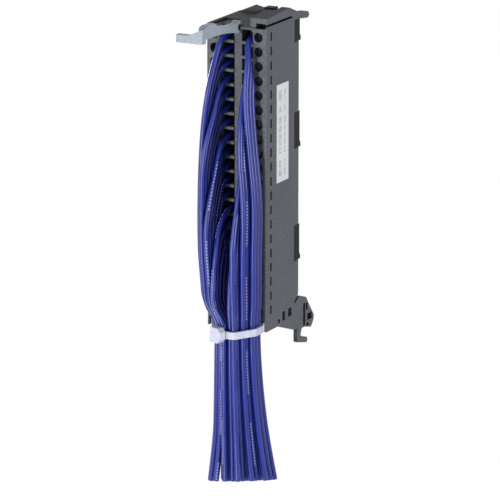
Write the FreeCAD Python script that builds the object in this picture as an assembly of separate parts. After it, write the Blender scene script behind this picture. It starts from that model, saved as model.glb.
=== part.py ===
import FreeCAD, Part
import math
import os

V = FreeCAD.Vector

# A forty-pole front connector with screw terminals, wired with forty single cores.
# X runs to the right, Y back towards the module, Z up. The origin is the middle of
# the seat that meets the module. Depths are measured back from the front face, so a
# point in front of the connector has a negative depth. Millimetres throughout.

# Terminal pattern: two columns, numbered from the top row down
ROWS = 20
PITCH = 5.0
SCREW_INSET = 3.0
ENTRY_STEP = 4.3

# Housing
BODY_WIDTH = 22.6
BODY_DEPTH = 24.0
SEAT_PROUD = 2.4
TOP_MARGIN = 3.2
BOTTOM_MARGIN = 7.2
SIDE_WALL = 1.5
BLOCK_DEPTH = 15.0
RIB_SETBACK = 1.0
BAR_SETBACK = 1.5
BAR_WIDTH = 2.8
CHANNEL_REACH = 2.3
POCKET_REACH = 2.1
POCKET_HEIGHT = 4.0
EDGE_ROUND = 0.5

# Slits in the side walls, one beside each screw
SLIT_DEPTH = 3.75
SLIT_WIDTH = 1.0
SLIT_HEIGHT = 3.0

# Clamp cage, jaw and screw of one terminal
SCREW_DIAMETER = 2.5
SCREW_HEAD = 3.0
SCREW_HEAD_HEIGHT = 1.6
SCREW_SLOT = 0.6
SCREW_SLOT_DEPTH = 0.8
SCREW_TIP = 0.9
CONE_START = 9.6
CONE_END = 12.2
DRIVER_BORE = 3.4
CAGE_FRONT = 7.0
CAGE_REACH = 1.8
CAGE_WALL = 1.05
CAGE_HEIGHT = 4.0
CAGE_SHEET = 0.6
CAGE_WINDOW = 2.4
JAW_HEIGHT = 3.2
JAW_NOSE = 0.6
CAGE_GAP = 0.1
FIT_GAP = 0.05

# Fork contact of one terminal
CONTACT_SHEET = 0.6
CONTACT_HEIGHT = 3.0
CONTACT_STEM = 1.6
FORK_GAP = 0.8
FORK_LENGTH = 6.5
FORK_ROOT = 1.5
BLADE_START = 1.0
CONTACT_SETBACK = 0.6

# Rear insert that carries the contacts, with the snap ribs that key it in the side walls
CARRIER_SHOULDER = 5.1
CARRIER_RECESS = 0.6
CARRIER_POCKET_FLOOR = 2.5
CARRIER_POCKET_WALL = 1.2
SNAP_LENGTH = 12.5
SNAP_DEPTH = 3.2
SNAP_PROUD = 0.9
SNAP_TOOTH = 0.7
SNAP_BOTTOMS = (42.4, 5.3, -34.4)
TOP_SNAP_X = (-0.2, 3.3)
TOP_SNAP_RISE = 2.7

# Raised block, ridge and latch tongue at the top
CAP_WIDTH = 6.2
CAP_FRONT = 0.6
CAP_FRONT_HEIGHT = 3.2
CAP_HEIGHT = 4.3
CAP_DEPTH = 17.0
CAP_REAR_HEIGHT = 1.6
CAP_WAIST = 2.9
CAP_WAIST_START = 12.0
CAP_GROOVE = 0.8
CAP_GROOVE_RISE = 0.4
CAP_GROOVE_DEPTH = 1.4
# The ridge across the rear, as (in from the left side, up)
RIDGE_OUTLINE = ((0.5, 0.0), (6.3, 2.6), (9.0, 2.0), (11.0, 2.3))
RIDGE_DEPTH = 2.2
TONGUE_BACK = 7.6
TONGUE_FALL = 1.0
TONGUE_THICKNESS = 2.2
TONGUE_WIDTH = 2.8
TONGUE_ROOT = 2.0
TONGUE_TIP = 0.8
ROOT = 0.5

# Foot at each side, a lobe and a hooked leg, as (back, up) from the lower rear corner of the side wall
LOBE_WIDTH = 3.6
LOBE_OUTLINE = (
    (-2.0, 7.6), (0.4, 7.3), (6.1, 5.4), (8.0, 2.6), (12.0, -2.3), (11.7, -4.1), (9.8, -6.2), (4.8, -5.0),
    (2.4, -5.0), (-1.0, -3.0),
)
LOBE_NOTCH = ((-2.6, 5.0), (-2.9, 5.9), (0.6, 8.4), (2.0, 7.6))
LEG_WIDTH = 1.5
LEG_OUTLINE = (
    (-0.6, 4.0), (-0.6, -9.0), (-0.2, -9.4), (6.6, -11.0), (7.1, -10.2), (6.8, -9.1), (2.4, -7.8),
    (1.9, -7.0), (2.8, -5.2), (2.8, 4.0),
)
# Blind cells in the lobe's outer face, as (back, up, width, height)
LOBE_CELLS = ((4.6, -0.4, 1.5, 8.0), (6.5, 2.0, 1.2, 2.6), (8.7, -2.0, 3.4, 2.4), (7.2, -4.6, 1.6, 1.0))
LOBE_CELL_DEPTH = 3.0
BOTTOM_FLAT = 9.0
BOTTOM_FALL = 4.2
BOTTOM_FALL_END = 2.9
# Small windows low in the side walls, as (depth, up, width, height)
SIDE_WINDOWS = ((13.3, 2.7, 1.9, 3.2), (17.8, 3.0, 2.6, 3.0), (9.7, 1.7, 1.4, 1.3))

# Release lever, on a pin along X: a flat arm with a crosswise grip at its front end
LEVER_SHEET = 2.4
LEVER_EYE = 2.2
# The arm's outline, as (forward of the pin, up from it)
LEVER_ARM = (
    (0.0, -1.4), (3.7, -1.3), (9.7, -0.45), (14.0, -0.15), (24.4, 0.1), (24.4, 3.9), (22.4, 4.5),
    (17.5, 4.45), (16.0, 3.4), (9.7, 1.85), (4.4, 1.4), (0.0, 1.7),
)
LEVER_REACH = 26.2
LEVER_GRIP = 9.1
LEVER_GRIP_SHEET = 2.5
LEVER_GRIP_LOW = -1.25
LEVER_GRIP_HIGH = 1.35
LEVER_RAMP = 4.6
LEVER_RAMP_TOP = 3.8
LEVER_TIP_ROUND = 0.8
PIVOT_DIAMETER = 2.2
PIVOT_DEPTH = 0.2
PIVOT_RISE = 2.9
PIVOT_CLEARANCE = 0.05
PIVOT_SETBACK = 1.0
EAR_WIDTH = 1.8
EAR_RADIUS = 2.0
EAR_FOOT = 6.0
LEVER_SIDE_GAP = 0.2
EYE_ROOM = 0.4

# Recesses in the top face and at the cap's front end
TOP_RECESS_INSET = 1.5
TOP_RECESS_RIGHT = -3.6
TOP_RECESS_D = (1.2, 11.0)
TOP_RECESS_DEPTH = 0.7
CAP_NOTCH_INSET = (0.5, 4.1)
CAP_NOTCH_DEPTH = 4.0
CAP_NOTCH_LOW = 0.3
CAP_NOTCH_HIGH = 1.5
BAR_FOOT = 4.6
HOLLOW_WALL = 1.0
SNAP_TOOTH_HEIGHT = 1.2
SNAP_KEY = 0.5

# Side label
LABEL_WIDTH = 8.6
LABEL_LENGTH = 34.0
LABEL_THICKNESS = 0.15
LABEL_DEPTH = 7.6
LABEL_TOP = 29.9

# Single cores
WIRE_DIAMETER = 2.0
CONDUCTOR_DIAMETER = 0.9
STRIP_LENGTH = 6.0
INSULATION_END = 6.4
EXIT_LEAD = 0.9
EXIT_LEAD_BY_BAR = 1.4
BOW_SHARE = 0.34
BOW_BACK = 1.2
BOW_ACROSS = 0.3
TURN_OUT_BY_BAR = 0.9
LANE_COLUMN = 4.0
LANE = 2.1
LOOSE_STEP = 2.3
LANE_BACK = 2.3
BUNDLE_MIDDLE = 3.2
BUNDLE_FORWARD = 7.0
WIRE_END = -55.6
CUT_SLOPE_X = 0.13
CUT_SLOPE_FORWARD = 0.22
# How a core hangs from its pocket to its lane: upper rows in long slopes, rows by the tie in short bends
LONG_ROWS = {"left": 12, "right": 14}
LONG_DROP = {
    "start": 0.7, "lead": 3.0, "share": 1.9, "turn": 0.35, "across": 1.0, "left": 0.46, "right": 0.58,
}
SHORT_DROP = {
    "start": 0.35, "lead": 5.0, "share": 1.15, "turn": 0.4, "across": 0.8, "left": 0.67, "right": 0.78,
}

# Cable tie, behind a lip at the foot of the front face
TIE_RISE = 1.9
TIE_WIDTH = 2.5
TIE_THICKNESS = 1.0
TIE_LIP = 2.0
TIE_HOOK = 3.7
TIE_NOTCH = (0.6, 3.8)
TIE_HOLD = 3.4
TIE_JOIN = -1.5
TIE_NOTCH_GAP = 0.15
TIE_HEAD_LENGTH = 5.0
TIE_HEAD_THICKNESS = 2.6
TIE_HEAD_HEIGHT = 5.2
TIE_HEAD_TAPER = 1.4
TIE_HEAD_BEARING = 110.0

# Derived places
FRONT_Y = -(BODY_DEPTH + SEAT_PROUD)
HALF_WIDTH = BODY_WIDTH / 2
SCREW_COLUMN = HALF_WIDTH - SCREW_INSET
ENTRY_COLUMN = SCREW_COLUMN - ENTRY_STEP
CAGE_INNER = ENTRY_COLUMN - CAGE_REACH
CAGE_OUTER = HALF_WIDTH - CAGE_WALL
CAP_INNER = HALF_WIDTH - CAP_WIDTH
ROW_SPAN = (ROWS - 1) * PITCH
TOP_ROW_Z = ROW_SPAN / 2
TOP_Z = TOP_ROW_Z + TOP_MARGIN
BOTTOM_Z = -TOP_ROW_Z - BOTTOM_MARGIN
TIE_Z = BOTTOM_Z + TIE_RISE
HOLLOW_TOP = TOP_ROW_Z + PITCH / 2
HOLLOW_BOTTOM = -HOLLOW_TOP
PIVOT_Z = TOP_ROW_Z + PIVOT_RISE
ROW_HEIGHTS = [TOP_ROW_Z - row * PITCH for row in range(ROWS)]
SIDES = {"left": -1, "right": 1}
BEYOND = 2.0
CAGE_BACK = BLOCK_DEPTH - FIT_GAP
TIGHT_STEP = LANE * math.sqrt(3) / 2


# Solids from depths and heights
def box(x_range, depth_range, z_range):
    x0, x1 = sorted(x_range)
    d0, d1 = depth_range
    z0, z1 = z_range
    return Part.makeBox(x1 - x0, d1 - d0, z1 - z0, V(x0, FRONT_Y + d0, z0))


def side_box(side, a_range, depth_range, z_range):
    """A box whose X limits are distances from the middle plane on one side."""
    return box([side * a for a in a_range], depth_range, z_range)


def rod_y(x, z, depth_range, radius):
    d0, d1 = depth_range
    return Part.makeCylinder(radius, d1 - d0, V(x, FRONT_Y + d0, z), V(0, 1, 0))


def rod_x(x_range, depth, z, radius):
    x0, x1 = sorted(x_range)
    return Part.makeCylinder(radius, x1 - x0, V(x0, FRONT_Y + depth, z), V(1, 0, 0))


def side_plate(points, x_range):
    """A plate across X with an outline of (depth, height) points."""
    x0, x1 = sorted(x_range)
    outline = [V(x0, FRONT_Y + d, z) for d, z in points]
    face = Part.Face(Part.makePolygon(outline + outline[:1]))
    return face.extrude(V(x1 - x0, 0, 0))


def floor_plate(points, z_range):
    """A plate across Z with an outline of (x, depth) points."""
    z0, z1 = z_range
    outline = [V(x, FRONT_Y + d, z0) for x, d in points]
    face = Part.Face(Part.makePolygon(outline + outline[:1]))
    return face.extrude(V(0, 0, z1 - z0))


def front_plate(points, depth_range):
    """A plate across Y with an outline of (x, height) points."""
    d0, d1 = depth_range
    outline = [V(x, FRONT_Y + d0, z) for x, z in points]
    face = Part.Face(Part.makePolygon(outline + outline[:1]))
    return face.extrude(V(0, d1 - d0, 0))


# Paths of straight runs joined by tangent arcs, each as large as its two runs allow
def rounded_edges(points, share=0.45):
    edges = []
    radii = []
    start = points[0]
    for before, corner, after in zip(points, points[1:], points[2:]):
        into = (corner - before).normalize()
        out = (after - corner).normalize()
        turn = into.getAngle(out)
        shorter = min((corner - before).Length, (after - corner).Length)
        radius = share * shorter / math.tan(turn / 2)
        entry = corner - into * (share * shorter)
        leave = corner + out * (share * shorter)
        bisector = (out - into).normalize()
        centre = corner + bisector * (radius / math.cos(turn / 2))
        middle = centre - bisector * radius
        edges.append(Part.LineSegment(start, entry).toShape())
        edges.append(Part.Arc(entry, middle, leave).toShape())
        radii.append(radius)
        start = leave
    edges.append(Part.LineSegment(start, points[-1]).toShape())
    return edges, radii


def tube(points, diameter):
    edges, radii = rounded_edges(points)
    path = Part.Wire(edges)
    circle = Part.makeCircle(diameter / 2, points[0], points[1] - points[0])
    solid = path.makePipeShell([Part.Wire([circle])], True, False)
    return solid, path.Length, radii


# Housing: one moulding with forty terminal chambers
def terminal_cutters(side, z):
    x_screw = side * SCREW_COLUMN
    half_pocket = POCKET_HEIGHT / 2
    half_chamber = CAGE_HEIGHT / 2 + CAGE_GAP
    entry = (BAR_WIDTH / 2, ENTRY_COLUMN + POCKET_REACH)
    chamber = (CAGE_INNER - CAGE_GAP, CAGE_OUTER + CAGE_GAP)
    slit_z = (z - SLIT_HEIGHT / 2, z + SLIT_HEIGHT / 2)
    slit_d = (SLIT_DEPTH - SLIT_WIDTH / 2, SLIT_DEPTH + SLIT_WIDTH / 2)
    return [
        side_box(side, entry, (-BEYOND, CAGE_FRONT), (z - half_pocket, z + half_pocket)),
        rod_y(x_screw, z, (-BEYOND, CAGE_FRONT), DRIVER_BORE / 2),
        side_box(side, chamber, (CAGE_FRONT, BLOCK_DEPTH), (z - half_chamber, z + half_chamber)),
        side_box(side, (SCREW_COLUMN, HALF_WIDTH + BEYOND), slit_d, slit_z),
    ]


def foot(side):
    """Rear lobe and hooked leg at one side, drawn back and down from the lower rear corner."""
    def plate(outline, width):
        points = [(BODY_DEPTH + back, BOTTOM_Z + up) for back, up in outline]
        return side_plate(points, [side * HALF_WIDTH, side * (HALF_WIDTH - width)])

    cell_x = (HALF_WIDTH - LOBE_CELL_DEPTH, HALF_WIDTH + BEYOND)
    cutters = []
    for back, up, width, height in LOBE_CELLS:
        d = BODY_DEPTH + back
        z = BOTTOM_Z + up
        cutters.append(side_box(side, cell_x, (d - width / 2, d + width / 2),
                                (z - height / 2, z + height / 2)))
    return plate(LOBE_OUTLINE, LOBE_WIDTH).cut(cutters).fuse(plate(LEG_OUTLINE, LEG_WIDTH))


def snap_ranges():
    top_limit = HOLLOW_TOP - CAGE_GAP
    return [(low, min(low + SNAP_LENGTH, top_limit)) for low in SNAP_BOTTOMS]


def terminal_housing():
    low = BOTTOM_Z
    outline = [
        (0, low),
        (BOTTOM_FLAT, low),
        (BODY_DEPTH - BOTTOM_FALL_END, low - BOTTOM_FALL),
        (BODY_DEPTH, low - BOTTOM_FALL),
        (BODY_DEPTH, TOP_Z),
        (0, TOP_Z),
    ]
    body = side_plate(outline, (-HALF_WIDTH, HALF_WIDTH))
    upright = [
        edge for edge in body.Edges
        if abs(edge.Vertexes[0].Y - FRONT_Y) < 1e-6 and abs(edge.Vertexes[-1].Y - FRONT_Y) < 1e-6
    ]
    body = body.makeFillet(EDGE_ROUND, upright)
    cap_outline = [
        (CAP_FRONT, TOP_Z - ROOT),
        (BODY_DEPTH, TOP_Z - ROOT),
        (BODY_DEPTH, TOP_Z + CAP_REAR_HEIGHT),
        (CAP_DEPTH, TOP_Z + CAP_HEIGHT),
        (CAP_FRONT, TOP_Z + CAP_FRONT_HEIGHT),
    ]
    beside_waist = box((CAP_INNER - BEYOND, HALF_WIDTH - CAP_WAIST), (CAP_WAIST_START, BODY_DEPTH + BEYOND),
                       (TOP_Z, TOP_Z + CAP_HEIGHT + BEYOND))
    cap = side_plate(cap_outline, (CAP_INNER, HALF_WIDTH)).cut(beside_waist)
    tongue_end = BODY_DEPTH + TONGUE_BACK
    tongue_top = TOP_Z + CAP_REAR_HEIGHT
    tongue_low = tongue_top - TONGUE_THICKNESS
    tongue_outline = [
        (BODY_DEPTH - TONGUE_ROOT, tongue_top),
        (BODY_DEPTH - TONGUE_ROOT, tongue_low),
        (tongue_end - TONGUE_TIP, tongue_low - TONGUE_FALL),
        (tongue_end, tongue_low - TONGUE_FALL + TONGUE_TIP),
        (tongue_end, tongue_top - TONGUE_FALL - TONGUE_TIP),
        (tongue_end - TONGUE_TIP, tongue_top - TONGUE_FALL),
    ]
    tongue = side_plate(tongue_outline, (HALF_WIDTH, HALF_WIDTH - TONGUE_WIDTH))
    ridge_line = [(inset - HALF_WIDTH, TOP_Z + up) for inset, up in RIDGE_OUTLINE]
    ridge_base = [(ridge_line[-1][0], TOP_Z - ROOT), (ridge_line[0][0], TOP_Z - ROOT)]
    ridge = front_plate(ridge_line + ridge_base, (BODY_DEPTH - RIDGE_DEPTH, BODY_DEPTH))
    ear_inner = -(LEVER_SHEET / 2 + LEVER_SIDE_GAP)
    ear_x = (ear_inner - EAR_WIDTH, ear_inner)
    ear = rod_x(ear_x, PIVOT_DEPTH, PIVOT_Z, EAR_RADIUS)
    ear_foot = box(ear_x, (0, EAR_FOOT), (HOLLOW_TOP, PIVOT_Z))
    shell = body.fuse([cap, tongue, ridge, ear, ear_foot, foot(-1), foot(1)])

    inside = HALF_WIDTH - SIDE_WALL
    cutters = []
    for side in SIDES.values():
        for z in ROW_HEIGHTS:
            cutters += terminal_cutters(side, z)
        cutters.append(side_box(side, (BAR_WIDTH / 2, ENTRY_COLUMN + CHANNEL_REACH), (-BEYOND, RIB_SETBACK),
                                (HOLLOW_BOTTOM, HOLLOW_TOP)))
        notch_top = TIE_Z + TIE_WIDTH / 2 + TIE_NOTCH_GAP
        notch_a = [HALF_WIDTH - inset for inset in TIE_NOTCH]
        cutters.append(side_box(side, notch_a, (-BEYOND, TIE_LIP + ROOT), (low - BEYOND, notch_top)))
        through_wall = (inside - ROOT, HALF_WIDTH + BEYOND)
        lobe_notch = [(BODY_DEPTH + back, low + up) for back, up in LOBE_NOTCH]
        cutters.append(side_plate(lobe_notch, [side * a for a in through_wall]))
        for low_z, high_z in snap_ranges():
            cutters.append(side_box(side, through_wall,
                                    (BODY_DEPTH - SNAP_DEPTH - CAGE_GAP, BODY_DEPTH + BEYOND),
                                    (low_z - CAGE_GAP, high_z + CAGE_GAP)))
        for d, up, width, height in SIDE_WINDOWS:
            z = low + up
            cutters.append(side_box(side, through_wall, (d - width / 2, d + width / 2),
                                    (z - height / 2, z + height / 2)))
    cutters.append(box((-BAR_WIDTH / 2, BAR_WIDTH / 2), (-BEYOND, BAR_SETBACK),
                       (low + BAR_FOOT, TOP_Z + BEYOND)))
    cutters.append(box((-inside, inside), (BLOCK_DEPTH, BODY_DEPTH + BEYOND), (HOLLOW_BOTTOM, HOLLOW_TOP)))
    cutters.append(box((-inside, inside), (TIE_LIP, BODY_DEPTH + BEYOND),
                       (low - BOTTOM_FALL - BEYOND, HOLLOW_BOTTOM - HOLLOW_WALL)))
    eye_room = LEVER_EYE + EYE_ROOM
    lever_x = (ear_inner, -ear_inner)
    cutters.append(rod_x(lever_x, PIVOT_DEPTH, PIVOT_Z, eye_room))
    cutters.append(box(lever_x, (-BEYOND, PIVOT_DEPTH), (PIVOT_Z - eye_room, TOP_Z + BEYOND)))
    cutters.append(rod_x((ear_x[0] - BEYOND, ear_inner + BEYOND), PIVOT_DEPTH, PIVOT_Z, PIVOT_DIAMETER / 2))
    groove_low = TOP_Z + CAP_GROOVE_RISE
    cutters.append(box((HALF_WIDTH - CAP_GROOVE_DEPTH, HALF_WIDTH + BEYOND), (-BEYOND, CAP_DEPTH + BEYOND),
                       (groove_low, groove_low + CAP_GROOVE)))
    cap_notch_x = [HALF_WIDTH - inset for inset in CAP_NOTCH_INSET]
    cutters.append(box(cap_notch_x, (-BEYOND, CAP_NOTCH_DEPTH),
                       (TOP_Z - CAP_NOTCH_LOW, TOP_Z + CAP_NOTCH_HIGH)))
    cutters.append(box((TOP_RECESS_INSET - HALF_WIDTH, TOP_RECESS_RIGHT), TOP_RECESS_D,
                       (TOP_Z - TOP_RECESS_DEPTH, TOP_Z + BEYOND)))
    top_snap_left, top_snap_right = TOP_SNAP_X
    cutters.append(box((top_snap_left - CAGE_GAP, top_snap_right + CAGE_GAP),
                       (BODY_DEPTH - SNAP_DEPTH - CAGE_GAP, BODY_DEPTH + BEYOND),
                       (HOLLOW_TOP - ROOT, TOP_Z + CAP_HEIGHT)))
    return shell.cut(cutters)


# Rear insert with the contact chambers
def contact_a_range():
    inner = CAGE_INNER + CAGE_SHEET + FIT_GAP
    return inner, inner + CONTACT_SHEET


def contact_carrier():
    inside = HALF_WIDTH - SIDE_WALL - CAGE_GAP
    half_boss = HALF_WIDTH - CARRIER_SHOULDER
    rear_face = BODY_DEPTH - CARRIER_RECESS
    z_range = (HOLLOW_BOTTOM + CAGE_GAP, HOLLOW_TOP - CAGE_GAP)
    block = box((-inside, inside), (BLOCK_DEPTH + FIT_GAP, rear_face), z_range)
    boss = box((-half_boss, half_boss), (rear_face, BODY_DEPTH + SEAT_PROUD), z_range)
    snap_rear = BODY_DEPTH + SNAP_PROUD
    ribs = [box(TOP_SNAP_X, (BODY_DEPTH - SNAP_DEPTH, BODY_DEPTH),
                (z_range[1] - SNAP_KEY, TOP_Z + TOP_SNAP_RISE))]
    cutters = []
    a0, a1 = contact_a_range()
    for side in SIDES.values():
        for low_z, high_z in snap_ranges():
            outline = [
                (BODY_DEPTH - SNAP_DEPTH, low_z),
                (snap_rear + SNAP_TOOTH, low_z),
                (snap_rear + SNAP_TOOTH, low_z + SNAP_TOOTH_HEIGHT),
                (snap_rear, low_z + 2 * SNAP_TOOTH_HEIGHT),
                (snap_rear, high_z),
                (BODY_DEPTH - SNAP_DEPTH, high_z),
            ]
            ribs.append(side_plate(outline, [side * (inside - SNAP_KEY), side * (HALF_WIDTH - CAGE_GAP)]))
        half = CONTACT_HEIGHT / 2 + CAGE_GAP
        for z in ROW_HEIGHTS:
            cutters.append(side_box(side, (a0 - FIT_GAP, a1 + FIT_GAP),
                                    (BLOCK_DEPTH - BEYOND, BODY_DEPTH + SEAT_PROUD + BEYOND),
                                    (z - half, z + half)))
        cutters.append(side_box(side, (half_boss + CARRIER_POCKET_WALL, inside - CARRIER_POCKET_WALL),
                                (BLOCK_DEPTH + CARRIER_POCKET_FLOOR, BODY_DEPTH + BEYOND),
                                (z_range[0] + CARRIER_POCKET_WALL, z_range[1] - CARRIER_POCKET_WALL)))
    return block.fuse([boss] + ribs).cut(cutters)


# One terminal: cage, jaw, screw and contact
def clamp_cage(side, z):
    front = CAGE_FRONT + FIT_GAP
    half = CAGE_HEIGHT / 2
    outer = side_box(side, (CAGE_INNER, CAGE_OUTER), (front, CAGE_BACK), (z - half, z + half))
    hollow = side_box(side, (CAGE_INNER + CAGE_SHEET, CAGE_OUTER - CAGE_SHEET),
                      (front + CAGE_SHEET, CAGE_BACK - CAGE_SHEET), (z - half - BEYOND, z + half + BEYOND))
    thread = rod_y(side * SCREW_COLUMN, z, (front - BEYOND, front + BEYOND), SCREW_DIAMETER / 2 + FIT_GAP)
    half_window = CAGE_WINDOW / 2
    window = side_box(side, (CAGE_INNER + CAGE_SHEET, ENTRY_COLUMN + half_window),
                      (front - BEYOND, front + CAGE_SHEET), (z - half_window, z + half_window))
    a0, a1 = contact_a_range()
    tab = CONTACT_STEM / 2 + FIT_GAP
    outlet = side_box(side, (a0 - FIT_GAP, a1 + FIT_GAP), (CAGE_BACK - CAGE_SHEET, CAGE_BACK + BEYOND),
                      (z - tab, z + tab))
    return outer.cut([hollow, thread, window, outlet])


def clamp_jaw(side, z):
    near = ENTRY_COLUMN + CONDUCTOR_DIAMETER / 2 + FIT_GAP
    shank = SCREW_COLUMN - SCREW_DIAMETER / 2 - CAGE_GAP
    tip = SCREW_COLUMN - SCREW_TIP / 2 - CAGE_GAP
    outline = [
        (near, CONE_START - JAW_NOSE),
        (shank - JAW_NOSE, CONE_START - JAW_NOSE),
        (shank, CONE_START),
        (tip, CONE_END),
        (near, CONE_END),
    ]
    return floor_plate([(side * a, d) for a, d in outline], (z - JAW_HEIGHT / 2, z + JAW_HEIGHT / 2))


def clamp_screw(side, z):
    x = side * SCREW_COLUMN
    head_start = CAGE_FRONT - SCREW_HEAD_HEIGHT
    head = rod_y(x, z, (head_start, CAGE_FRONT), SCREW_HEAD / 2)
    shank = rod_y(x, z, (CAGE_FRONT, CONE_START), SCREW_DIAMETER / 2)
    cone = Part.makeCone(SCREW_DIAMETER / 2, SCREW_TIP / 2, CONE_END - CONE_START,
                         V(x, FRONT_Y + CONE_START, z), V(0, 1, 0))
    slot = box((x - SCREW_HEAD, x + SCREW_HEAD), (head_start - BEYOND, head_start + SCREW_SLOT_DEPTH),
               (z - SCREW_SLOT / 2, z + SCREW_SLOT / 2))
    return head.fuse([shank, cone]).cut(slot)


def fork_contact(side, z):
    a0, a1 = contact_a_range()
    rear = BODY_DEPTH + SEAT_PROUD - CONTACT_SETBACK
    fork_start = rear - FORK_LENGTH
    full = (z - CONTACT_HEIGHT / 2, z + CONTACT_HEIGHT / 2)
    blade_start = CAGE_FRONT + BLADE_START
    blade = side_box(side, (a0, a1), (blade_start, CAGE_BACK - CAGE_SHEET - CAGE_GAP), full)
    stem = side_box(side, (a0, a1), (blade_start, fork_start), (z - CONTACT_STEM / 2, z + CONTACT_STEM / 2))
    fork = side_box(side, (a0, a1), (fork_start - FORK_ROOT, rear), full)
    mouth = side_box(side, (a0 - BEYOND, a1 + BEYOND), (fork_start, rear + BEYOND),
                     (z - FORK_GAP / 2, z + FORK_GAP / 2))
    return blade.fuse([stem, fork]).cut(mouth).removeSplitter()


def column(make, side):
    return Part.makeCompound([make(side, z) for z in ROW_HEIGHTS])


# Release lever and its pivot
def release_lever():
    half = LEVER_SHEET / 2
    arm = side_plate([(PIVOT_DEPTH - forward, PIVOT_Z + up) for forward, up in LEVER_ARM], (-half, half))
    eye = rod_x((-half, half), PIVOT_DEPTH, PIVOT_Z, LEVER_EYE)
    grip_low = PIVOT_Z + LEVER_GRIP_LOW
    grip_high = PIVOT_Z + LEVER_GRIP_HIGH
    grip_outline = [
        (half, grip_low),
        (half, PIVOT_Z + LEVER_RAMP_TOP),
        (-LEVER_RAMP, grip_high),
        (-LEVER_GRIP, grip_high),
        (-LEVER_GRIP, grip_low),
    ]
    front = PIVOT_DEPTH - LEVER_REACH
    grip = front_plate(grip_outline, (front, front + LEVER_GRIP_SHEET))
    tip = [edge for edge in grip.Edges if all(abs(vertex.X + LEVER_GRIP) < 1e-6 for vertex in edge.Vertexes)
           and abs(edge.Vertexes[0].Y - edge.Vertexes[-1].Y) < 1e-6]
    grip = grip.makeFillet(LEVER_TIP_ROUND, tip)
    hole = rod_x((-half - BEYOND, half + BEYOND), PIVOT_DEPTH, PIVOT_Z, PIVOT_DIAMETER / 2 + PIVOT_CLEARANCE)
    return arm.fuse([eye, grip]).cut(hole).removeSplitter()


def lever_pivot():
    outer = -(LEVER_SHEET / 2 + LEVER_SIDE_GAP + EAR_WIDTH)
    return rod_x((outer, LEVER_SHEET / 2 - PIVOT_SETBACK), PIVOT_DEPTH, PIVOT_Z, PIVOT_DIAMETER / 2)


# Side label
def side_label():
    return box((HALF_WIDTH, HALF_WIDTH + LABEL_THICKNESS), (LABEL_DEPTH, LABEL_DEPTH + LABEL_WIDTH),
               (LABEL_TOP - LABEL_LENGTH, LABEL_TOP))


# Wire lanes: each half of the bundle is four staggered columns, filled from the outside
# in, so that every core reaches its lane without crossing one from above.
# Each entry is (column, first layer, end layer); the left half keeps its back layer for the last rows.
LANE_FILL = {
    "left": ((3, 1, 4), (2, 1, 5), (1, 1, 6), (0, 0, 6), (1, 0, 1), (2, 0, 1)),
    "right": ((3, 0, 3), (2, 0, 5), (1, 0, 6), (0, 0, 6)),
}
LANES = {
    name: [(column, layer) for column, first, end in fill for layer in reversed(range(first, end))]
    for name, fill in LANE_FILL.items()
}
TIE_LEFT = LANE_COLUMN + BUNDLE_MIDDLE - TIGHT_STEP / 2
TIE_RIGHT = BUNDLE_MIDDLE + TIGHT_STEP / 2 - LANE_COLUMN
# Heights above the tie at which the bundle's path is set:
# (height, left shift, right shift, forward shift, column step, spread)
STATIONS = (
    (100.8, 5.9, -4.2, 0.1, LOOSE_STEP, 1.0),
    (82.8, 4.5, -3.7, 0.0, LOOSE_STEP, 1.0),
    (64.8, 2.3, -2.3, -0.2, LOOSE_STEP, 1.0),
    (44.8, 1.3, -0.3, -0.5, LOOSE_STEP, 1.0),
    (26.8, 1.4, -0.7, -0.4, LOOSE_STEP, 1.0),
    (16.8, 2.3, -0.8, -0.5, LOOSE_STEP, 1.0),
    (8.8, 4.3, -0.4, -0.8, LANE, 1.0),
    (TIE_HOLD, TIE_LEFT, TIE_RIGHT, -0.7, TIGHT_STEP, 1.0),
    (-TIE_HOLD, TIE_LEFT, TIE_RIGHT, -0.7, TIGHT_STEP, 1.0),
    (-13.2, TIE_LEFT, TIE_RIGHT, -0.9, TIGHT_STEP, 1.04),
    (-26.2, TIE_LEFT, TIE_RIGHT, -1.6, TIGHT_STEP, 1.13),
    (-40.2, TIE_LEFT, TIE_RIGHT, -2.5, TIGHT_STEP, 1.28),
    (WIRE_END, TIE_LEFT, TIE_RIGHT, -2.9, TIGHT_STEP, 1.55),
)
STATION_HEIGHTS = [TIE_Z + station[0] for station in STATIONS]
STATION_REACH = 4.0


def lane_point(name, lane, z):
    """Where a lane is at a height, as (x, forward)."""
    rise = max(min(z - TIE_Z, STATIONS[0][0]), STATIONS[-1][0])
    above, below = [pair for pair in zip(STATIONS, STATIONS[1:]) if pair[0][0] >= rise][-1]
    t = (above[0] - rise) / (above[0] - below[0])
    left, right, forward_shift, step, spread = [a + t * (b - a) for a, b in zip(above[1:], below[1:])]
    column_number, layer = lane
    side = SIDES[name]
    stagger = (column_number % 2) if side > 0 else (column_number + 1) % 2
    x = side * (LANE_COLUMN + column_number * step) + (left if side < 0 else right)
    forward = LANE_BACK + (layer + stagger / 2) * LANE + forward_shift
    x = BUNDLE_MIDDLE + (x - BUNDLE_MIDDLE) * spread
    forward = BUNDLE_FORWARD + (forward - BUNDLE_FORWARD) * spread
    return x, forward


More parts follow.
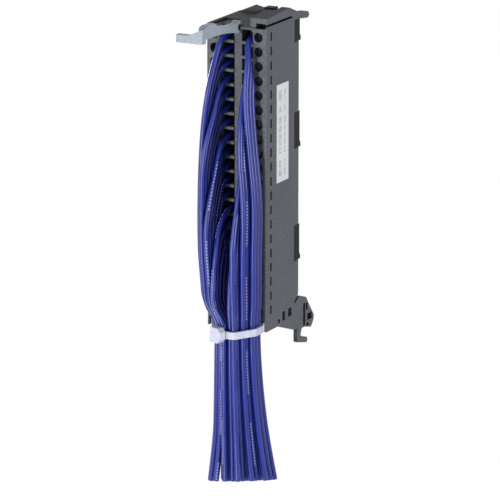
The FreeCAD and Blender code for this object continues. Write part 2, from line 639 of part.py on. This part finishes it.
def wire_route(name, row):
    lane = LANES[name][row]
    hang = LONG_DROP if row < LONG_ROWS[name] else SHORT_DROP
    z = ROW_HEIGHTS[row]
    mouth = SIDES[name] * ENTRY_COLUMN
    x, forward = lane_point(name, lane, z - PITCH)
    drop = hang["lead"] + hang["share"] * math.hypot(x - mouth, forward)
    join_z = max(z - drop, TIE_Z + TIE_JOIN)
    near = [height for height in STATION_HEIGHTS if 0 <= join_z - height < STATION_REACH]
    join_z = near[0] if near else join_z
    x, forward = lane_point(name, lane, join_z)
    lead = EXIT_LEAD if lane[0] else EXIT_LEAD_BY_BAR
    lead *= max(-1, min(1, lane_point(name, lane, z)[0] - mouth))
    out = max(BOW_SHARE * forward - BOW_BACK, BOW_ACROSS * abs(x - mouth))
    turn_z = z - hang["turn"] * drop
    turn_x, turn_forward = lane_point(name, lane, turn_z)
    turn_share = hang["across"] if lane[0] else 1.0
    turn_out = TURN_OUT_BY_BAR if name == "right" and lane == (0, 1) else hang[name]
    route = [
        (mouth, -INSULATION_END, z),
        (mouth + lead, out, z - hang["start"]),
        (mouth + turn_share * (turn_x - mouth), turn_out * turn_forward, turn_z),
        (x, forward, join_z),
    ]
    for height in STATION_HEIGHTS[1:]:
        if height < join_z - STATION_REACH:
            x, forward = lane_point(name, lane, height)
            route.append((x, forward, height))
    x, forward, end_z = route[-1]
    route[-1] = (x, forward, end_z + CUT_SLOPE_X * x + CUT_SLOPE_FORWARD * forward)
    return [V(x, FRONT_Y - forward, z) for x, forward, z in route]


def wire(name, row):
    route = wire_route(name, row)
    sleeve, length, radii = tube(route, WIRE_DIAMETER)
    inside_sleeve = route[0] - V(0, CONDUCTOR_DIAMETER, 0)
    conductor = Part.makeCylinder(CONDUCTOR_DIAMETER / 2, STRIP_LENGTH + CONDUCTOR_DIAMETER,
                                  inside_sleeve, V(0, 1, 0))
    section = math.pi * WIRE_DIAMETER ** 2 / 4
    return sleeve.fuse(conductor), length, min(radii), sleeve.Volume / (section * length)


# Cable tie: a flat strap drawn round the bundle and behind the lip, with its locking head
def around(points):
    """The points at the corners of the tightest loop, in order."""
    ordered = sorted(set(points))
    loop = []
    for run in (ordered, ordered[::-1]):
        chain = []
        for x, f in run:
            while len(chain) > 1:
                (x0, f0), (x1, f1) = chain[-2:]
                if (x1 - x0) * (f - f0) - (f1 - f0) * (x - x0) > 1e-9:
                    break
                chain.pop()
            chain.append((x, f))
        loop += chain[:-1]
    return loop


def loop_round(corners, radius):
    """A closed wire round the corner points: straight runs joined by arcs about the corners."""
    runs = []
    for here, there in zip(corners, corners[1:] + corners[:1]):
        run = there - here
        outward = V(-run.y, run.x, 0).normalize() * radius
        runs.append((here + outward, there + outward))
    edges = []
    for corner, (start, end), (onward, _) in zip(corners[1:] + corners[:1], runs, runs[1:] + runs[:1]):
        middle = corner + ((end - corner) + (onward - corner)).normalize() * radius
        edges.append(Part.LineSegment(start, end).toShape())
        edges.append(Part.Arc(end, middle, onward).toShape())
    return Part.Wire(edges)


def cable_tie():
    hug = WIRE_DIAMETER / 2 + CAGE_GAP
    centres = [lane_point(name, lane, TIE_Z) for name in SIDES for lane in LANES[name]]
    behind_lip = hug - TIE_LIP - FIT_GAP
    hook = HALF_WIDTH - TIE_HOOK
    low = TIE_Z - TIE_WIDTH / 2
    corners = [V(x, FRONT_Y - f, low) for x, f in around(centres + [(-hook, behind_lip), (hook, behind_lip)])]
    loops = [loop_round(corners, hug + TIE_THICKNESS), loop_round(corners, hug)]
    strap = Part.makeFace(loops, "Part::FaceMakerBullseye").extrude(V(0, 0, TIE_WIDTH))
    bearing = math.radians(TIE_HEAD_BEARING)
    normal = V(math.cos(bearing), -math.sin(bearing), 0)
    along = V(-normal.y, normal.x, 0)
    half_long = TIE_HEAD_LENGTH / 2
    half_high = TIE_HEAD_HEIGHT / 2
    half_strap = TIE_WIDTH / 2
    profile = [
        (-half_long, -half_high), (half_long - TIE_HEAD_TAPER, -half_high), (half_long, -half_strap),
        (half_long, half_strap), (half_long - TIE_HEAD_TAPER, half_high), (-half_long, half_high),
    ]
    foremost = max(corners, key=lambda corner: corner.dot(normal))
    seat = foremost + normal * (hug + TIE_THICKNESS / 2) + V(0, 0, half_strap)
    base = [seat + along * a + V(0, 0, up) for a, up in profile]
    head = Part.Face(Part.makePolygon(base + base[:1])).extrude(normal * TIE_HEAD_THICKNESS)
    return strap.fuse(head)


def export(node, shape):
    shape.exportStep("parts/" + node + ".step")


def main():
    os.makedirs("parts", exist_ok=True)
    export("terminal_housing", terminal_housing())
    export("contact_carrier", contact_carrier())
    makers = {
        "clamp_cages": clamp_cage,
        "clamp_jaws": clamp_jaw,
        "clamp_screws": clamp_screw,
        "fork_contacts": fork_contact,
    }
    for side_name, side in SIDES.items():
        for group, make in makers.items():
            export(group + "_" + side_name, column(make, side))
    export("release_lever", release_lever())
    export("lever_pivot", lever_pivot())
    export("side_label", side_label())
    export("cable_tie", cable_tie())
    for side_name in SIDES:
        for row in range(ROWS):
            solid, length, tightest, volume_ratio = wire(side_name, row)
            node = "wire_%s_%02d" % (side_name, row + 1)
            export(node, solid)
            print(node, "length %.1f, smallest radius %.1f" % (length, tightest))
            print(node, "volume ratio %.4f" % volume_ratio)


main()
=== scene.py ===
import math

import bpy
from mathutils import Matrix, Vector


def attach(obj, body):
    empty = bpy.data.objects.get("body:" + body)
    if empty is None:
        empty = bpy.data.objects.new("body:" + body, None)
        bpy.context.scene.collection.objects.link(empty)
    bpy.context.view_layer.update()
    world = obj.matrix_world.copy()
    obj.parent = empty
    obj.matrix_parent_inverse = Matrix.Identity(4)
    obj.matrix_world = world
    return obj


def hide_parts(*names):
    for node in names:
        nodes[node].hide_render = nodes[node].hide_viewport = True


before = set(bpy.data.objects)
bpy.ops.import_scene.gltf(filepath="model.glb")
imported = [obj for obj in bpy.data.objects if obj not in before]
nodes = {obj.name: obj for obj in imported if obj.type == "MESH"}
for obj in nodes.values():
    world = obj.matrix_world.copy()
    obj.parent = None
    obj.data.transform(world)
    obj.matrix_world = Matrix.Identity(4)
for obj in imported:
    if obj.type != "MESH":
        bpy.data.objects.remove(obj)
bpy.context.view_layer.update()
MM = 0.001

# Camera, fitted to the connector's slits, screw holes and edges
AZIMUTH, ELEVATION = math.radians(27.86), math.radians(13.56)
DISTANCE = 1.5
IMAGE_PX, PX_PER_METRE = 500, 2936
FOCAL_PX = PX_PER_METRE * DISTANCE
SENSOR = 36.0
TARGET = Vector((0.0, -0.015, 0.0))
# How far the middle of the picture lies from the target, in pixels
CENTRE_LEFT, CENTRE_BELOW = 2.08, 84.13
back = Vector((
    math.sin(AZIMUTH) * math.cos(ELEVATION),
    -math.cos(AZIMUTH) * math.cos(ELEVATION),
    math.sin(ELEVATION),
))
camera_data = bpy.data.cameras.new("camera")
camera = bpy.data.objects.new("camera", camera_data)
bpy.context.collection.objects.link(camera)
camera.location = TARGET + back * DISTANCE
right = Vector((math.cos(AZIMUTH), math.sin(AZIMUTH), 0.0))
aim = TARGET - (right * CENTRE_LEFT + back.cross(right) * CENTRE_BELOW) / PX_PER_METRE
camera.rotation_mode = "QUATERNION"
camera.rotation_quaternion = (aim - camera.location).to_track_quat("-Z", "Y")
camera_data.sensor_width = SENSOR
camera_data.lens = FOCAL_PX * SENSOR / IMAGE_PX
camera_data.clip_start, camera_data.clip_end = 0.05, 50.0
scene = bpy.context.scene
scene.camera = camera
scene.view_settings.view_transform = "Standard"


# Materials
class Nodes:
    """A small helper that adds and joins shader nodes."""

    def __init__(self, name):
        self.material = bpy.data.materials.new(name)
        self.material.use_nodes = True
        self.tree = self.material.node_tree
        self.bsdf = self.tree.nodes["Principled BSDF"]

    def add(self, kind, **values):
        """A new node, with its settings or its sockets' values by name."""
        node = self.tree.nodes.new(kind)
        for key, value in values.items():
            if hasattr(node, key):
                setattr(node, key, value)
            else:
                node.inputs[key.replace("_", " ")].default_value = value
        return node

    def link(self, source, output, target, socket):
        """Join an output of one node to a socket of another."""
        self.tree.links.new(source.outputs[output], target.inputs[socket])

    def math(self, operation, a, b, a_out=0, b_out=0):
        """A math node over two numbers or nodes; a_out and b_out pick a node's output."""
        node = self.add("ShaderNodeMath", operation=operation)
        for index, (value, out) in enumerate(((a, a_out), (b, b_out))):
            if isinstance(value, (int, float)):
                node.inputs[index].default_value = value
            else:
                self.tree.links.new(value.outputs[out], node.inputs[index])
        return node

    def mix(self, factor, dark, light):
        """A blend of two colours, each a tuple or another mix node."""
        node = self.add("ShaderNodeMix", data_type="RGBA")
        if isinstance(factor, (int, float)):
            node.inputs["Factor"].default_value = factor
        else:
            self.tree.links.new(factor.outputs[0], node.inputs["Factor"])
        for socket, value in ((6, dark), (7, light)):
            if isinstance(value, tuple):
                node.inputs[socket].default_value = value + (1.0,)
            else:
                self.tree.links.new(value.outputs[2], node.inputs[socket])
        return node


# Grain of the mouldings, and pale edges that are partly wear and partly painted highlight; lengths in
# metres
CONTRAST, SLOW_SHARE, FINE_SHARE = 2.6, 0.2, 0.8
GLOSS_SPREAD, RELIEF_DEPTH = 0.16, 0.0001
EDGE_RADIUS, EDGE_WEAR_AND_HIGHLIGHT, EDGE_GAIN, EDGE_LIGHT = 0.0003, 0.5, 3.0, 1.7
# Painted shade in the recesses: how far it reaches, where it starts and how dark it is
RECESS_REACH, RECESS_START, RECESS_GAIN, RECESS_SHADE = 0.003, 0.3, 1.8, 0.12


def moulded(name, dark, light, roughness, grain, bump, specular=0.4):
    """Moulded plastic: colour drift, fine grain, uneven gloss, pale edges that are partly wear and
    partly painted highlight, and painted shade in recesses.
    """
    n = Nodes(name)
    place = n.add("ShaderNodeTexCoord")
    slow = n.add("ShaderNodeTexNoise", Scale=60.0, Detail=4.0)
    fine = n.add("ShaderNodeTexNoise", Scale=grain, Detail=3.0)
    for texture in (slow, fine):
        n.link(place, "Object", texture, "Vector")
    blend = n.math("ADD", n.math("MULTIPLY", slow, SLOW_SHARE), n.math("MULTIPLY", fine, FINE_SHARE))
    spread = n.math("ADD", n.math("MULTIPLY", n.math("SUBTRACT", blend, 0.5), CONTRAST), 0.5)
    colour = n.mix(spread, dark, light)
    soft_edge = n.add("ShaderNodeBevel", samples=4, Radius=EDGE_RADIUS)
    shape = n.add("ShaderNodeNewGeometry")
    along = n.add("ShaderNodeVectorMath", operation="DOT_PRODUCT")
    n.tree.links.new(soft_edge.outputs[0], along.inputs[0])
    n.link(shape, "Normal", along, 1)
    bent = n.math("SUBTRACT", 1.0, along, b_out=1)
    # Partly wear, partly painted highlight: the colour turns paler where the rounded-edge normal bends
    # away from the face normal
    worn_and_highlit = n.math("MULTIPLY", n.math("MINIMUM", n.math("MULTIPLY", bent, EDGE_GAIN), 1.0), EDGE_WEAR_AND_HIGHLIGHT)
    edged = n.mix(worn_and_highlit, colour, tuple(min(1.0, EDGE_LIGHT * value) for value in light))
    # Painted shade: ambient occlusion darkens the colour to near black in recesses and crevices
    hollow = n.add("ShaderNodeAmbientOcclusion", samples=8, only_local=True, Distance=RECESS_REACH)
    unshaded_share = n.math("MULTIPLY", n.math("SUBTRACT", hollow, RECESS_START, a_out=1), RECESS_GAIN)
    recess_shaded = n.mix(unshaded_share, tuple(RECESS_SHADE * value for value in dark), edged)
    n.tree.links.new(recess_shaded.outputs[2], n.bsdf.inputs["Base Color"])
    rough = n.math("ADD", n.math("MULTIPLY", fine, GLOSS_SPREAD), roughness - GLOSS_SPREAD / 2)
    n.tree.links.new(rough.outputs[0], n.bsdf.inputs["Roughness"])
    n.bsdf.inputs["Specular IOR Level"].default_value = specular
    relief = n.add("ShaderNodeBump", Strength=bump, Distance=RELIEF_DEPTH)
    n.link(fine, 0, relief, "Height")
    n.link(soft_edge, 0, relief, "Normal")
    n.link(relief, 0, n.bsdf, "Normal")
    return n.material


# Streaks of the metal: their fineness, how far they are drawn out along Y, and their spread of gloss
STREAK_SCALE, STREAK_LENGTHWISE, STREAK_GLOSS = 2500.0, 0.08, 0.2


def metal(name, dark, light, roughness):
    """Plated sheet or turned metal with fine streaks."""
    n = Nodes(name)
    place = n.add("ShaderNodeTexCoord")
    stretch = n.add("ShaderNodeMapping")
    stretch.inputs["Scale"].default_value = (1.0, STREAK_LENGTHWISE, 1.0)
    streak = n.add("ShaderNodeTexNoise", Scale=STREAK_SCALE, Detail=3.0)
    n.link(place, "Object", stretch, "Vector")
    n.link(stretch, 0, streak, "Vector")
    colour = n.mix(streak, dark, light)
    n.tree.links.new(colour.outputs[2], n.bsdf.inputs["Base Color"])
    n.bsdf.inputs["Metallic"].default_value = 1.0
    rough = n.math("ADD", n.math("MULTIPLY", streak, STREAK_GLOSS), roughness - STREAK_GLOSS / 2)
    n.tree.links.new(rough.outputs[0], n.bsdf.inputs["Roughness"])
    return n.material


# Print along a core: spacing of the groups and of the marks in them, half the band's angle
# round the core, the share of each spacing that is filled, and the strength
PRINT_GROUP, PRINT_LETTER, PRINT_HALF, PRINT_FILL, PRINT_STRENGTH = 0.026, 0.0011, 0.22, 0.6, 0.62
# How far chance shifts the groups and turns the band
PRINT_SHIFT, PRINT_FACING, PRINT_TURN = 7.0, 0.3, 3.0


def wire_material(name, printed):
    """Dark blue insulation with a glossy skin, and on some cores a broken pale print line along it."""
    n = Nodes(name)
    place = n.add("ShaderNodeTexCoord")
    slow = n.add("ShaderNodeTexNoise", Scale=45.0, Detail=3.0)
    n.link(place, "Object", slow, "Vector")
    colour = n.mix(slow, (0.003, 0.010, 0.150), (0.010, 0.026, 0.290))
    if printed:
        spot = n.add("ShaderNodeSeparateXYZ")
        facing = n.add("ShaderNodeSeparateXYZ")
        n.link(place, "Object", spot, "Vector")
        n.link(place, "Normal", facing, "Vector")
        chance = n.add("ShaderNodeObjectInfo")
        groups = n.math("ADD", n.math("MULTIPLY", spot, 1 / PRINT_GROUP, a_out=2),
                        n.math("MULTIPLY", chance, PRINT_SHIFT, a_out=5))
        group = n.math("LESS_THAN", n.math("FRACT", groups, 0.0), PRINT_FILL)
        letters = n.math("FRACT", n.math("MULTIPLY", spot, 1 / PRINT_LETTER, a_out=2), 0.0)
        bearing = n.math("ARCTAN2", facing, n.math("MULTIPLY", facing, -1.0, a_out=1))
        turned = n.math("MULTIPLY", n.math("SUBTRACT", chance, PRINT_FACING, a_out=5), PRINT_TURN)
        away = n.math("ABSOLUTE", n.math("SUBTRACT", bearing, turned), 0.0)
        band = n.math("LESS_THAN", away, PRINT_HALF)
        letter = n.math("LESS_THAN", letters, PRINT_FILL)
        mark = n.math("MULTIPLY", n.math("MULTIPLY", group, letter), band)
        colour = n.mix(n.math("MULTIPLY", mark, PRINT_STRENGTH), colour, (0.48, 0.52, 0.80))
    n.tree.links.new(colour.outputs[2], n.bsdf.inputs["Base Color"])
    n.bsdf.inputs["Roughness"].default_value = 0.26
    n.bsdf.inputs["Specular IOR Level"].default_value = 0.45
    fine = n.add("ShaderNodeTexNoise", Scale=900.0, Detail=2.0)
    n.link(place, "Object", fine, "Vector")
    relief = n.add("ShaderNodeBump", Strength=0.15, Distance=RELIEF_DEPTH)
    n.link(fine, 0, relief, "Height")
    n.link(relief, 0, n.bsdf, "Normal")
    return n.material


# The label's plain marks: two columns as (middle, half width) along Y, and their reach along Z
MARK_COLUMNS = ((-0.0163, 0.0009), (-0.0128, 0.0005))
MARK_MIDDLE, MARK_REACH, MARK_STRENGTH = 0.0129, 0.0150, 0.6
# Noise levels above which there is a group of marks, and a mark in it
GROUP_LEVEL, MARK_LEVEL = 0.44, 0.47


def label_material():
    """White label film with two columns of plain grey marks where print would be."""
    n = Nodes("label_white")
    place = n.add("ShaderNodeTexCoord")
    split = n.add("ShaderNodeSeparateXYZ")
    n.link(place, "Object", split, "Vector")
    slow = n.add("ShaderNodeTexNoise", Scale=70.0, Detail=4.0)
    marks = n.add("ShaderNodeTexNoise", Scale=2300.0, Detail=1.0)
    for texture in (slow, marks):
        n.link(place, "Object", texture, "Vector")
    film = n.mix(slow, (0.61, 0.62, 0.65), (0.72, 0.73, 0.76))
    only_z = n.add("ShaderNodeMapping")
    only_z.inputs["Scale"].default_value = (0.0, 0.0, 1.0)
    groups = n.add("ShaderNodeTexNoise", Scale=330.0, Detail=0.0)
    n.link(place, "Object", only_z, "Vector")
    n.link(only_z, 0, groups, "Vector")
    grouped = n.math("GREATER_THAN", groups, GROUP_LEVEL)
    ink = n.math("MULTIPLY", grouped, n.math("GREATER_THAN", marks, MARK_LEVEL))
    columns = []
    for middle, half in MARK_COLUMNS:
        away = n.math("ABSOLUTE", n.math("SUBTRACT", split, middle, a_out=1), 0.0)
        columns.append(n.math("LESS_THAN", away, half))
    lengthways = n.math("ABSOLUTE", n.math("SUBTRACT", split, MARK_MIDDLE, a_out=2), 0.0)
    inside = n.math("LESS_THAN", lengthways, MARK_REACH)
    where = n.math("MULTIPLY", n.math("ADD", *columns), inside)
    strength = n.math("MULTIPLY", n.math("MULTIPLY", where, ink), MARK_STRENGTH)
    colour = n.mix(strength, film, (0.22, 0.21, 0.23))
    n.tree.links.new(colour.outputs[2], n.bsdf.inputs["Base Color"])
    n.bsdf.inputs["Roughness"].default_value = 0.45
    return n.material


HOUSING = moulded(
    "housing_grey", (0.085, 0.091, 0.100), (0.155, 0.163, 0.177), 0.75, 1500.0, 0.5, specular=0.05)
CARRIER = moulded(
    "carrier_black", (0.010, 0.010, 0.012), (0.022, 0.022, 0.025), 0.6, 1500.0, 0.2, specular=0.1)
LEVER = moulded("lever_grey", (0.27, 0.31, 0.36), (0.34, 0.39, 0.45), 0.42, 1200.0, 0.12)
TIE = moulded("tie_white", (0.46, 0.47, 0.59), (0.56, 0.57, 0.69), 0.38, 900.0, 0.1)
LABEL = label_material()
PIN = metal("dark_pin", (0.10, 0.11, 0.14), (0.17, 0.18, 0.22), 0.45)
STEEL = metal("plated_steel", (0.20, 0.20, 0.21), (0.31, 0.31, 0.32), 0.42)
TINNED = metal("tinned_strip", (0.55, 0.53, 0.50), (0.74, 0.72, 0.68), 0.35)
WIRE = wire_material("wire_blue", False)
WIRE_PRINTED = wire_material("wire_blue_printed", True)
# Cores whose print faces forward
PRINTED = {"left": (8, 11, 13, 16), "right": (5, 9, 12, 17)}

PAINT = {
    "terminal_housing": HOUSING,
    "contact_carrier": CARRIER,
    "release_lever": LEVER,
    "lever_pivot": PIN,
    "side_label": LABEL,
    "cable_tie": TIE,
}
for side_name in ("left", "right"):
    for group in ("clamp_cages", "clamp_jaws", "clamp_screws"):
        PAINT[group + "_" + side_name] = STEEL
    PAINT["fork_contacts_" + side_name] = TINNED
for node, material in PAINT.items():
    mesh = nodes[node].data
    mesh.materials.clear()
    mesh.materials.append(material)


# Wires: the same lanes and routes as the model, in millimetres until the points are made
ROWS, PITCH, ENTRY_COLUMN = 20, 5.0, 4.0
FRONT_Y = -26.4
TOP_ROW_Z = (ROWS - 1) * PITCH / 2
WIRE_DIAMETER, INSULATION_END, EXIT_LEAD, EXIT_LEAD_BY_BAR = 2.0, 6.4, 0.9, 1.4
BOW_SHARE, BOW_BACK, BOW_ACROSS = 0.34, 1.2, 0.3
TURN_OUT_BY_BAR = 0.9
LONG_ROWS = {"left": 12, "right": 14}
LONG_DROP = {
    "start": 0.7, "lead": 3.0, "share": 1.9, "turn": 0.35, "across": 1.0, "left": 0.46, "right": 0.58,
}
SHORT_DROP = {
    "start": 0.35, "lead": 5.0, "share": 1.15, "turn": 0.4, "across": 0.8, "left": 0.67, "right": 0.78,
}
LANE_COLUMN, LANE, LOOSE_STEP, LANE_BACK = 4.0, 2.1, 2.3, 2.3
TIGHT_STEP = LANE * math.sqrt(3) / 2
BUNDLE_MIDDLE, BUNDLE_FORWARD = 3.2, 7.0
WIRE_END, CUT_SLOPE_X, CUT_SLOPE_FORWARD = -55.6, 0.13, 0.22
TIE_Z, TIE_HOLD, TIE_JOIN = -52.8, 3.4, -1.5
STATION_REACH = 4.0
SIDES = {"left": -1, "right": 1}
LANE_FILL = {
    "left": ((3, 1, 4), (2, 1, 5), (1, 1, 6), (0, 0, 6), (1, 0, 1), (2, 0, 1)),
    "right": ((3, 0, 3), (2, 0, 5), (1, 0, 6), (0, 0, 6)),
}
LANES = {
    name: [(column, layer) for column, first, end in fill for layer in reversed(range(first, end))]
    for name, fill in LANE_FILL.items()
}
TIE_LEFT = LANE_COLUMN + BUNDLE_MIDDLE - TIGHT_STEP / 2
TIE_RIGHT = BUNDLE_MIDDLE + TIGHT_STEP / 2 - LANE_COLUMN
# (height above the tie, left shift, right shift, forward shift, column step, spread)
STATIONS = (
    (100.8, 5.9, -4.2, 0.1, LOOSE_STEP, 1.0),
    (82.8, 4.5, -3.7, 0.0, LOOSE_STEP, 1.0),
    (64.8, 2.3, -2.3, -0.2, LOOSE_STEP, 1.0),
    (44.8, 1.3, -0.3, -0.5, LOOSE_STEP, 1.0),
    (26.8, 1.4, -0.7, -0.4, LOOSE_STEP, 1.0),
    (16.8, 2.3, -0.8, -0.5, LOOSE_STEP, 1.0),
    (8.8, 2.2, -0.4, -0.8, LANE, 1.0),
    (TIE_HOLD, TIE_LEFT, TIE_RIGHT, -0.7, TIGHT_STEP, 1.0),
    (-TIE_HOLD, TIE_LEFT, TIE_RIGHT, -0.7, TIGHT_STEP, 1.0),
    (-13.2, TIE_LEFT, TIE_RIGHT, -0.9, TIGHT_STEP, 1.04),
    (-26.2, TIE_LEFT, TIE_RIGHT, -1.6, TIGHT_STEP, 1.13),
    (-40.2, TIE_LEFT, TIE_RIGHT, -2.5, TIGHT_STEP, 1.28),
    (WIRE_END, TIE_LEFT, TIE_RIGHT, -2.9, TIGHT_STEP, 1.55),
)
STATION_HEIGHTS = [TIE_Z + station[0] for station in STATIONS]
# Cores of the left half whose cut ends stand apart, as (rows, shift in X)
PARTED_ENDS = (((1, 2, 4, 5, 8), -0.8), ((3, 6, 9, 13), 0.8), ((7, 10, 14), 0.4))
# The lowest core of the left half gives way to the one above it, as (x, forward, z) at its turn
TURN_SHIFT = {("left", 20): (-0.8, -0.4, -0.8)}


def lane_point(name, lane, z):
    """Where a lane is at a height, as (x, forward)."""
    rise = max(min(z - TIE_Z, STATIONS[0][0]), STATIONS[-1][0])
    above, below = [pair for pair in zip(STATIONS, STATIONS[1:]) if pair[0][0] >= rise][-1]
    t = (above[0] - rise) / (above[0] - below[0])
    left, right, forward_shift, step, spread = [a + t * (b - a) for a, b in zip(above[1:], below[1:])]
    column_number, layer = lane
    side = SIDES[name]
    stagger = (column_number % 2) if side > 0 else (column_number + 1) % 2
    x = side * (LANE_COLUMN + column_number * step) + (left if side < 0 else right)
    forward = LANE_BACK + (layer + stagger / 2) * LANE + forward_shift
    x = BUNDLE_MIDDLE + (x - BUNDLE_MIDDLE) * spread
    forward = BUNDLE_FORWARD + (forward - BUNDLE_FORWARD) * spread
    return x, forward


def wire_route(name, row):
    """A core's control points, in metres: out of its mouth, down into its lane and on to its cut end."""
    lane = LANES[name][row]
    hang = LONG_DROP if row < LONG_ROWS[name] else SHORT_DROP
    z = TOP_ROW_Z - row * PITCH
    mouth = SIDES[name] * ENTRY_COLUMN
    x, forward = lane_point(name, lane, z - PITCH)
    drop = hang["lead"] + hang["share"] * math.hypot(x - mouth, forward)
    join_z = max(z - drop, TIE_Z + TIE_JOIN)
    near = [height for height in STATION_HEIGHTS if 0 <= join_z - height < STATION_REACH]
    join_z = near[0] if near else join_z
    x, forward = lane_point(name, lane, join_z)
    lead = EXIT_LEAD if lane[0] else EXIT_LEAD_BY_BAR
    lead *= max(-1, min(1, lane_point(name, lane, z)[0] - mouth))
    out = max(BOW_SHARE * forward - BOW_BACK, BOW_ACROSS * abs(x - mouth))
    turn_z = z - hang["turn"] * drop
    turn_x, turn_forward = lane_point(name, lane, turn_z)
    turn_share = hang["across"] if lane[0] else 1.0
    turn_out = TURN_OUT_BY_BAR if name == "right" and lane == (0, 1) else hang[name]
    route = [
        (mouth, -INSULATION_END, z),
        (mouth + lead, out, z - hang["start"]),
        (mouth + turn_share * (turn_x - mouth), turn_out * turn_forward, turn_z),
        (x, forward, join_z),
    ]
    shift = TURN_SHIFT.get((name, row + 1), (0.0, 0.0, 0.0))
    route[2] = tuple(a + b for a, b in zip(route[2], shift))
    for height in STATION_HEIGHTS[1:]:
        if height < join_z - STATION_REACH:
            x, forward = lane_point(name, lane, height)
            route.append((x, forward, height))
    x, forward, end_z = route[-1]
    x += sum(shift for rows, shift in PARTED_ENDS if name == "left" and row + 1 in rows)
    route[-1] = (x, forward, end_z + CUT_SLOPE_X * x + CUT_SLOPE_FORWARD * forward)
    return [Vector((x, FRONT_Y - forward, z)) * MM for x, forward, z in route]


def line_length(curve):
    """The length of a curve's own line, without its bevel."""
    bare = curve.copy()
    bare.bevel_depth = 0.0
    probe = bpy.data.objects.new("probe", bare)
    mesh = bpy.data.meshes.new_from_object(probe)
    places = [vertex.co for vertex in mesh.vertices]
    length = sum((b - a).length for a, b in zip(places, places[1:]))
    bpy.data.objects.remove(probe)
    bpy.data.curves.remove(bare)
    bpy.data.meshes.remove(mesh)
    return length


for side_name in SIDES:
    for row in range(ROWS):
        node = "wire_%s_%02d" % (side_name, row + 1)
        route = wire_route(side_name, row)
        curve = bpy.data.curves.new(node + "_cord", "CURVE")
        curve.dimensions = "3D"
        curve.bevel_depth = WIRE_DIAMETER / 2 * MM
        curve.bevel_resolution = 4
        curve.use_fill_caps = True
        curve.resolution_u = 8
        spline = curve.splines.new("NURBS")
        spline.points.add(len(route) - 1)
        for point, place in zip(spline.points, route):
            point.co = (*place, 1.0)
        spline.order_u = 3
        spline.use_endpoint_u = True
        curve.materials.append(WIRE_PRINTED if row + 1 in PRINTED[side_name] else WIRE)
        piece = bpy.data.objects.new(node + "_cord", curve)
        bpy.context.collection.objects.link(piece)
        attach(piece, "connector")
        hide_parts(node)
        length = line_length(curve)


# Floor far below, white to the camera, and soft studio light
def seen_directly(tree):
    """1 for rays from the camera, and for those that gloss or glass sends on."""
    ray = tree.nodes.new("ShaderNodeLightPath")
    total = ray.outputs["Is Camera Ray"]
    for name in ("Is Glossy Ray", "Is Transmission Ray"):
        join = tree.nodes.new("ShaderNodeMath")
        join.operation = "MAXIMUM"
        tree.links.new(total, join.inputs[0])
        tree.links.new(ray.outputs[name], join.inputs[1])
        total = join.outputs[0]
    return total


FLOOR_HALF, FLOOR_Z = 6.0, -0.4
corners = [(x * FLOOR_HALF, y * FLOOR_HALF, FLOOR_Z) for x, y in ((-1, -1), (1, -1), (1, 1), (-1, 1))]
floor_mesh = bpy.data.meshes.new("floor")
floor_mesh.from_pydata(corners, [], [(0, 1, 2, 3)])
floor = bpy.data.objects.new("floor", floor_mesh)
bpy.context.collection.objects.link(floor)
white = bpy.data.materials.new("floor_white")
white.use_nodes = True
floor_tree = white.node_tree
paint = floor_tree.nodes["Principled BSDF"]
paint.inputs["Base Color"].default_value = (0.85, 0.85, 0.85, 1.0)
paint.inputs["Roughness"].default_value = 0.9
glow = floor_tree.nodes.new("ShaderNodeEmission")
choose = floor_tree.nodes.new("ShaderNodeMixShader")
floor_tree.links.new(seen_directly(floor_tree), choose.inputs[0])
floor_tree.links.new(paint.outputs[0], choose.inputs[1])
floor_tree.links.new(glow.outputs[0], choose.inputs[2])
floor_tree.links.new(choose.outputs[0], floor_tree.nodes["Material Output"].inputs["Surface"])
floor_mesh.materials.append(white)

world = bpy.data.worlds.new("world")
scene.world = world
world.use_nodes = True
world_tree = world.node_tree
sky = world_tree.nodes["Background"]
sky.inputs["Color"].default_value = (0.95, 0.97, 1.0, 1.0)
sky.inputs["Strength"].default_value = 0.30
clear = world_tree.nodes.new("ShaderNodeBackground")
clear.inputs["Color"].default_value = (1.0, 1.0, 1.0, 1.0)
world_choose = world_tree.nodes.new("ShaderNodeMixShader")
world_tree.links.new(seen_directly(world_tree), world_choose.inputs[0])
world_tree.links.new(sky.outputs[0], world_choose.inputs[1])
world_tree.links.new(clear.outputs[0], world_choose.inputs[2])
world_tree.links.new(world_choose.outputs[0], world_tree.nodes["World Output"].inputs["Surface"])


def area_light(name, place, width, height, power):
    """A soft rectangular lamp that faces the object, in metres and watts."""
    data = bpy.data.lights.new(name, "AREA")
    data.shape = "RECTANGLE"
    data.size, data.size_y = width, height
    data.energy = power
    light = bpy.data.objects.new(name, data)
    bpy.context.collection.objects.link(light)
    light.location = place
    light.rotation_mode = "QUATERNION"
    light.rotation_quaternion = (TARGET - Vector(place)).to_track_quat("-Z", "Y")


area_light("key", (-0.08, -1.05, -0.04), 0.08, 0.70, 8.3)
area_light("left", (-0.80, -0.70, -0.02), 0.20, 0.60, 2.2)
area_light("fill", (1.05, -0.10, 0.04), 0.40, 0.40, 5.8)
area_light("rear", (-0.75, 0.75, 0.04), 0.40, 0.40, 5.0)
